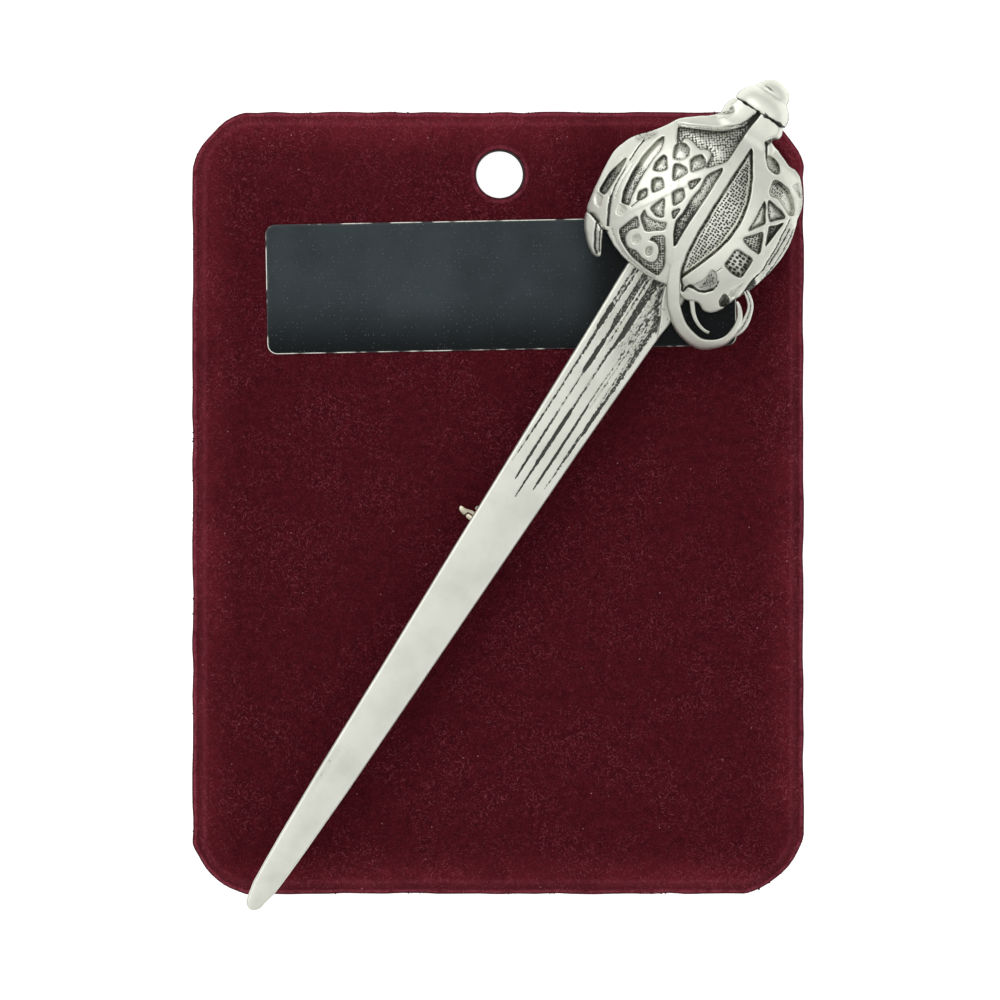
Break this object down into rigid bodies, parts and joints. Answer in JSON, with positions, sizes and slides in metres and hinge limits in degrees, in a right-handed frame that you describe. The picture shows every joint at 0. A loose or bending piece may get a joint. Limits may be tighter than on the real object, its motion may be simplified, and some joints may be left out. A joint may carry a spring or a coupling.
{
  "type": "kilt pin on display card",
  "caption": "Pewter sword-shaped kilt pin with a pierced basket hilt, fastened across a small flocked display card with a bare black label and a hang hole.",
  "frame": {"origin": "centre of the whole part's box, on the surface that the card lies on", "axes": "+Z out of the card's face, +Y to the card's top edge with the hang hole, +X to its right"},
  "size_m": [0.0622, 0.0846, 0.015],
  "materials": {
    "velvet": "flocked pile",
    "label_black": "gloss film on card",
    "pewter": "cast pewter, polished high spots over dark patina",
    "plated_brass": "pale plated brass"
  },
  "bodies": {
    "root": {"card": "velvet", "label": "label_black", "blade": "pewter", "grip": "pewter", "basket": "pewter", "pommel": "pewter", "pin_back": "plated_brass", "catch_lever": "plated_brass"}
  },
  "joints": []
}
